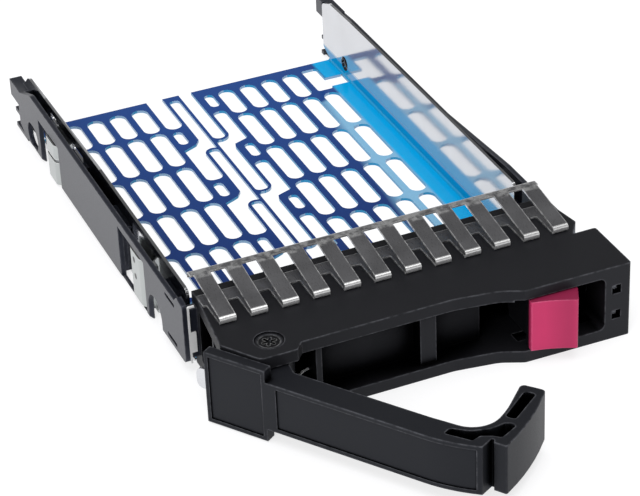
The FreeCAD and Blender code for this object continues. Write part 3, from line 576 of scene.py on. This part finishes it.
def strip_highlights():
    """Painted highlights: on the fold at each finger's tip, in patches on the crest and in a line
    at the rear.
    """
    low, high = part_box("emi_strip")

    def tint(tree, body):
        where = own_place(tree)
        place = axes(tree, where)
        tip = band(tree, place["Y"], TIP_HIGHLIGHT, low.y)
        patchy = ramp(tree, noise(tree, where, CREST_HIGHLIGHT_SCALE, 3.0), 0.4, 0.6)
        crest = times(tree, band(tree, place["Z"], CREST_HIGHLIGHT, high.z), times(tree, patchy, 0.55))
        rear = times(tree, band(tree, place["Y"], REAR_HIGHLIGHT, high.y), 0.5)
        # Painted highlights on the strip
        bright = maths(tree, "MAXIMUM", tip, maths(tree, "MAXIMUM", crest, rear))
        return mixed(tree, bright, body, HIGHLIGHT_SILVER)

    return tint


# Forms

WELD_GAP = 0.001 * MM
FLAT_ANGLE = math.radians(0.5)
CORNER_ANGLE = math.radians(40)

# Degrees from shut at rest
OPEN_ANGLE = 55.0
# How far the lever's hooked end swells past its solid, in mm, by the degrees round the hinge
# that each place has when the lever is shut
END_SWELL = ((-4.41, 0.03), (-0.83, 0.6), (1.98, 0.94), (4.82, 1.18), (7.67, 1.34),
             (10.54, 1.41), (14.7, 1.34))
# Distances from the hinge, in mm, up to which nothing swells and from which all of it does
END_STILL = 46.9
END_FULL = 48.9


def add_object(name, data):
    """A new object in the scene."""
    made = bpy.data.objects.new(name, data)
    bpy.context.scene.collection.objects.link(made)
    return made


def soften(made, radius):
    """Rounds a moulding's edges, so that they catch the light."""
    weld = made.modifiers.new("Join corners", "WELD")
    weld.merge_threshold = WELD_GAP
    flat = made.modifiers.new("Merge flats", "DECIMATE")
    flat.decimate_type = "DISSOLVE"
    flat.angle_limit = FLAT_ANGLE
    edge = made.modifiers.new("Round edges", "BEVEL")
    edge.width = radius
    edge.segments = 2
    edge.limit_method = "ANGLE"
    edge.angle_limit = CORNER_ANGLE
    edge.use_clamp_overlap = True
    made.modifiers.new("Smooth shading", "NODES").node_group = shared("smooth")
    made.modifiers.new("Keep flats flat", "WEIGHTED_NORMAL")


def joint_place(name):
    """Where a joint turns."""
    rows = frame["record"]["behaviour"]["joints"]
    return Vector(next(row["pos_m"] for row in rows if row["name"] == name))


def swell_at(angle):
    """The swell at an angle, from the table."""
    if angle <= END_SWELL[0][0]:
        return 0.0
    for (a, low), (b, high) in zip(END_SWELL, END_SWELL[1:]):
        if angle <= b:
            return low + (high - low) * (angle - a) / (b - a)
    return END_SWELL[-1][1]


def full_lever():
    """The lever with its hooked end filled out to an arc about the hinge."""
    solid = frame["nodes"]["latch_lever"]
    hinge = joint_place("lever_swing")
    mesh = solid.data.copy()
    for vertex in mesh.vertices:
        arm = Vector((vertex.co.x - hinge.x, vertex.co.y - hinge.y))
        reach = arm.length / MM
        if reach > END_STILL:
            angle = math.degrees(math.atan2(arm.y, arm.x)) + OPEN_ANGLE
            part = min(1.0, (reach - END_STILL) / (END_FULL - END_STILL))
            arm *= 1 + swell_at(angle) * part / reach
            vertex.co.x, vertex.co.y = hinge.x + arm.x, hinge.y + arm.y
    made = add_object("lever_moulding", mesh)
    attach(made, "lever")
    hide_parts("latch_lever")
    return made


# Springs, with lengths in mm

LEVER_WIRE = 0.5
LEVER_TURNS = 3
# The leg: how far its right end is from its elbow, its bends as X, Y and Z from the elbow,
# and the Y and Z of its right end
ELBOW_TO_END = 3.8
LEG_BENDS = ((-0.3, 0.0, 0.0), (0.5, 0.0, 0.0), (1.7, -0.3, 1.3), (2.6, -0.75, 2.5))
LEG_END = (-0.4, 2.5)

BUTTON_WIRE = 0.4
BUTTON_TURNS = 6


def wound(turns, steps=40):
    """Steps along a coil, each as its share of the length and its angle."""
    count = turns * steps
    return [(i / count, 2 * math.pi * i / steps) for i in range(count + 1)]


def wire(name, path, thick, material):
    """A round wire along a path."""
    curve = bpy.data.curves.new(name + "_line", "CURVE")
    curve.dimensions = "3D"
    curve.bevel_depth = thick / 2
    curve.bevel_resolution = 3
    curve.use_fill_caps = True
    line = curve.splines.new("POLY")
    line.points.add(len(path) - 1)
    for point, place in zip(line.points, path):
        point.co = (*place, 1)
    drawn = bpy.data.objects.new(name + "_line", curve)
    mesh = bpy.data.meshes.new_from_object(drawn)
    bpy.data.objects.remove(drawn)
    bpy.data.curves.remove(curve)
    mesh.materials.clear()
    mesh.materials.append(material)
    mesh.shade_smooth()
    return add_object(name, mesh)


def wind_lever_coil(material):
    """The coil round the pin, drawn at rest though the real one twists as the lever turns, and its
    still leg.
    """
    low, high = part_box("lever_spring")
    hinge = joint_place("lever_swing")
    thick = LEVER_WIRE * MM
    around = high.y - thick / 2 - hinge.y
    across = hinge.y + around
    bottom, top = low.z + thick / 2, high.z - thick / 2
    turns = [(hinge.x - around * math.sin(a), hinge.y + around * math.cos(a),
              bottom + (top - bottom) * t) for t, a in wound(LEVER_TURNS)]
    elbow = high.x - ELBOW_TO_END * MM
    path = [(elbow, across, bottom), *turns, (low.x, across, top)]
    coil = wire("lever_coil", path, thick, material)
    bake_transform(coil)
    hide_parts("lever_spring")

    path = [(elbow + x * MM, across + y * MM, bottom + z * MM) for x, y, z in LEG_BENDS]
    path.append((high.x, across + LEG_END[0] * MM, bottom + LEG_END[1] * MM))
    leg = wire("lever_coil_leg", path, thick, material)
    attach(leg, "caddy")


def wind_button_coil(material):
    """The coil behind the button, drawn at rest though the real one closes up as the button slides.
    """
    low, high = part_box("button_spring")
    thick = BUTTON_WIRE * MM
    middle = (low + high) / 2
    around = (high.y - low.y - thick) / 2
    span = high.x - low.x - thick
    path = [(low.x + thick / 2 + span * t, middle.y + around * math.sin(a),
             middle.z + around * math.cos(a)) for t, a in wound(BUTTON_TURNS)]
    coil = wire("button_coil", path, thick, material)
    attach(coil, "caddy")
    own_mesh(coil)
    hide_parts("button_spring")


# Pieces

class CADDY_OT_tray(bpy.types.Operator):
    """Finish the folded tray."""
    bl_idname = "caddy.tray"
    bl_label = "Tray"

    def execute(self, context):
        scene = context.scene
        assign(tray_finish(scene.caddy_colours, scene.caddy_sizes), "tray")
        return {"FINISHED"}


class CADDY_OT_mouldings(bpy.types.Operator):
    """Finish the bezel, the rails and the lever."""
    bl_idname = "caddy.mouldings"
    bl_label = "Mouldings"

    def execute(self, context):
        colours, sizes = context.scene.caddy_colours, context.scene.caddy_sizes
        # The mouldings' edges get a painted highlight in this grey
        highlight_grey = colours.edge_highlight
        # Painted shade in the bezel's and the lever's deep hollows
        assign(plastic("Bezel plastic", colours.plastic, 0.5, sizes, highlight_grey, gloss=0.25,
                       hollow=9.0 * MM), "bezel")
        assign(plastic("Rail plastic", colours.rail_plastic, 0.34, sizes, highlight_grey,
                       cast=(0.8, 0.84, 1.0)), "left_rail", "right_rail")
        assign(plastic("Lever plastic", colours.lever_plastic, 0.44, sizes, highlight_grey, gloss=0.2,
                       hollow=3.0 * MM), "latch_lever")
        for name in ("bezel", "left_rail", "right_rail"):
            soften(frame["nodes"][name], sizes.edge_round)
        soften(full_lever(), sizes.edge_round)
        return {"FINISHED"}


class CADDY_OT_button(bpy.types.Operator):
    """Finish the release button."""
    bl_idname = "caddy.button"
    bl_label = "Button"

    def execute(self, context):
        colours, sizes = context.scene.caddy_colours, context.scene.caddy_sizes
        # The cap gets painted shade on its top, down its face's hollow and behind it, and a painted
        # highlight on its edges
        assign(plastic("Button plastic", colours.button, 0.4, sizes, colours.button_highlight,
                       gloss=0.35, bump=0.05, highlight_gain=2.0, tint=cap_shade(colours)),
               "release_button")
        soften(frame["nodes"]["release_button"], sizes.button_round)
        return {"FINISHED"}


class CADDY_OT_metals(bpy.types.Operator):
    """Finish the spring strip, contacts, clip, cam plate, screws and pin."""
    bl_idname = "caddy.metals"
    bl_label = "Metals"

    def execute(self, context):
        colours, line = context.scene.caddy_colours, context.scene.caddy_sizes.brushing
        # Painted highlights on the strip's folds, crest, rear line and edges
        assign(metal("Strip steel", colours.strip_steel, 0.3, line, (1, 0.08, 1), contrast=0.6,
                     tint=strip_highlights(), shine=0.8, edge=0.25 * MM), "emi_strip")
        # Painted shade in the dimples, and a painted highlight along the springs' edges
        assign(metal("Contact plating", colours.contact, 0.34, line, (1, 0.2, 1), contrast=0.1,
                     tint=dimple_shade(colours), shine=0.8, edge=0.2 * MM),
               "left_front_spring", "left_rear_spring", "right_front_spring", "right_rear_spring")
        # The clip is near white and mostly matte, a painted reflection of the white floor
        assign(metal("Clip plating", colours.bright, 0.4, line, (1, 0.2, 1), contrast=0.1,
                     shine=0.2), "rail_clip")
        assign(metal("Cam steel", colours.steel, 0.28, line, (0.2, 1, 1), contrast=0.15),
               "lever_cam_plate")
        assign(metal("Screw steel", colours.steel, 0.3, line, (1, 1, 1)), "bezel_screws")
        # The pin's own grey, with a painted highlight round its edges
        assign(metal("Dark pin", colours.edge_highlight, 0.22, line, (1, 1, 1), contrast=0.6,
                     edge=0.3 * MM), "pivot_pin")
        return {"FINISHED"}


class CADDY_OT_springs(bpy.types.Operator):
    """Wind the lever's and the button's coils, drawn at rest though the real ones give as these
    move.
    """
    bl_idname = "caddy.springs"
    bl_label = "Springs"

    def execute(self, context):
        colours, line = context.scene.caddy_colours, context.scene.caddy_sizes.brushing
        # The lever's coil is near white and mostly matte, a painted glint
        wind_lever_coil(metal("Spring wire", colours.bright, 0.3, line, (1, 1, 1),
                              contrast=0.05, shine=0.1))
        # The button's coil is painted the bezel's black, as painted shade in its dark window
        wind_button_coil(metal("Spring wire in painted shade", colours.plastic, 0.3, line, (1, 1, 1)))
        return {"FINISHED"}


class CADDY_OT_light_pipes(bpy.types.Operator):
    """Finish the two light pipes."""
    bl_idname = "caddy.light_pipes"
    bl_label = "Light pipes"

    def execute(self, context):
        colours, sizes = context.scene.caddy_colours, context.scene.caddy_sizes
        # The pipes' plastic is painted lighter for a glint, and their edges get a painted glint
        assign(plastic("Pipe plastic", colours.pipe, 0.12, sizes, colours.pipe_edge, bump=0.02),
               "light_pipe_lower", "light_pipe_upper")
        return {"FINISHED"}


# Stage

FLOOR_HALF = 3.0
FLOOR_GREY = (0.36, 0.36, 0.37, 1)
FLOOR_GLOW = 0.7

# The world as gloss shows it: bright near the horizon and dim overhead
GLOSS_HEIGHTS = (0.02, 0.45)
GLOSS_LIGHTS = (1.0, 0.14)

# Name, place from the object's middle, side and share of the lamp's power
LAMPS = (("overhead", (-0.1, -0.1, 0.9), 0.9, 1.0),
         ("front_left", (-0.7, -0.7, 0.5), 0.5, 0.8))

# In mm, and the shifts in shares of the picture's width
CAMERA_PLACE = (-153.1, -328.1, 260.2)
CAMERA_AIM = (10.46, 69.28, 0.0)
CAMERA_SHIFT = (-0.01755, -0.0692)
SENSOR_WIDTH = 36.0


def make_floor():
    """White paper that glows only to the eye, in gloss and through clear pieces."""
    mesh = bpy.data.meshes.new("floor")
    work = bmesh.new()
    bmesh.ops.create_grid(work, x_segments=4, y_segments=4, size=FLOOR_HALF)
    work.to_mesh(mesh)
    work.free()
    floor = add_object("floor", mesh)
    material, tree, shader = new_material("Paper floor")
    shader.inputs["Base Color"].default_value = FLOOR_GREY
    shader.inputs["Roughness"].default_value = 1.0
    shader.inputs["Specular IOR Level"].default_value = 0.0
    shader.inputs["Emission Color"].default_value = (*WHITE, 1)
    paths = node(tree, "LightPath").outputs
    seen = maths(tree, "MAXIMUM", paths["Is Camera Ray"], paths["Is Glossy Ray"])
    seen = maths(tree, "MAXIMUM", seen, paths["Is Transmission Ray"])
    tree.links.new(times(tree, seen, FLOOR_GLOW), shader.inputs["Emission Strength"])
    mesh.materials.append(material)


def make_world(strength):
    """White to the eye, even as light, and with its own ramp in gloss."""
    world = bpy.data.worlds.new("Studio")
    world.use_nodes = True
    bpy.context.scene.world = world
    tree = world.node_tree
    back = next(n for n in tree.nodes if n.type == "BACKGROUND")
    paths = node(tree, "LightPath").outputs
    height = axes(tree, node(tree, "TexCoord").outputs["Generated"])["Z"]
    dim = times(tree, paths["Is Glossy Ray"], ramp(tree, height, *GLOSS_HEIGHTS, *GLOSS_LIGHTS))
    lit = times(tree, paths["Is Diffuse Ray"], strength)
    seen = maths(tree, "MAXIMUM", paths["Is Camera Ray"], paths["Is Transmission Ray"])
    light = maths(tree, "ADD", maths(tree, "ADD", dim, lit), seen)
    tree.links.new(light, back.inputs["Strength"])
    back.inputs["Color"].default_value = (*WHITE, 1)


def make_lamp(name, place, aim, side, power):
    """A square lamp that faces a point."""
    data = bpy.data.lights.new(name, "AREA")
    data.shape = "SQUARE"
    data.size = side
    data.energy = power
    lamp = add_object(name, data)
    lamp.location = place
    lamp.rotation_euler = (aim - place).to_track_quat("-Z", "Y").to_euler()


def make_camera(studio):
    """The camera, where the photograph was taken from."""
    place = Vector(CAMERA_PLACE) * MM
    aim = Vector(CAMERA_AIM) * MM
    data = bpy.data.cameras.new("Camera")
    data.sensor_width = SENSOR_WIDTH
    data.lens = studio.lens
    data.shift_x, data.shift_y = CAMERA_SHIFT
    data.clip_start = 0.01
    turn = (aim - place).to_track_quat("-Z", "Y").to_matrix() @ Matrix.Rotation(studio.roll, 3, "Z")
    camera = add_object("Camera", data)
    camera.matrix_world = Matrix.Translation(place) @ turn.to_4x4()
    bpy.context.scene.camera = camera


class CADDY_OT_stage(bpy.types.Operator):
    """Set the floor, the lamps, the world and the camera."""
    bl_idname = "caddy.stage"
    bl_label = "Stage"

    def execute(self, context):
        studio = context.scene.caddy_studio
        context.scene.view_settings.view_transform = "Standard"
        make_floor()
        make_world(studio.sky)
        middle = (cad_low + cad_high) / 2
        for name, offset, side, part in LAMPS:
            make_lamp(name, middle + Vector(offset), middle, side, studio.lamp * part)
        make_camera(studio)
        return {"FINISHED"}


STEPS = (CADDY_OT_tray, CADDY_OT_mouldings, CADDY_OT_button, CADDY_OT_metals,
         CADDY_OT_springs, CADDY_OT_light_pipes, CADDY_OT_stage)


class CADDY_PT_panel(bpy.types.Panel):
    """Lists the caddy's steps and settings."""
    bl_label = "Drive caddy"
    bl_idname = "CADDY_PT_panel"
    bl_space_type = "VIEW_3D"
    bl_region_type = "UI"
    bl_category = "Caddy"

    def draw(self, context):
        for step in STEPS:
            self.layout.operator(step.bl_idname)
        scene = context.scene
        for settings in (scene.caddy_colours, scene.caddy_sizes, scene.caddy_studio):
            for name in settings.bl_rna.properties.keys():
                if name not in ("rna_type", "name"):
                    self.layout.prop(settings, name)


CLASSES = (CaddyColours, CaddySizes, CaddyStudio, *STEPS, CADDY_PT_panel)


def register():
    for made in CLASSES:
        bpy.utils.register_class(made)
    bpy.types.Scene.caddy_colours = PointerProperty(type=CaddyColours)
    bpy.types.Scene.caddy_sizes = PointerProperty(type=CaddySizes)
    bpy.types.Scene.caddy_studio = PointerProperty(type=CaddyStudio)


def unregister():
    del bpy.types.Scene.caddy_colours
    del bpy.types.Scene.caddy_sizes
    del bpy.types.Scene.caddy_studio
    for made in reversed(CLASSES):
        bpy.utils.unregister_class(made)


def main():
    """Runs every step."""
    register()
    for step in STEPS:
        group, name = step.bl_idname.split(".")
        getattr(getattr(bpy.ops, group), name)()


if __name__ == "__main__":
    main()
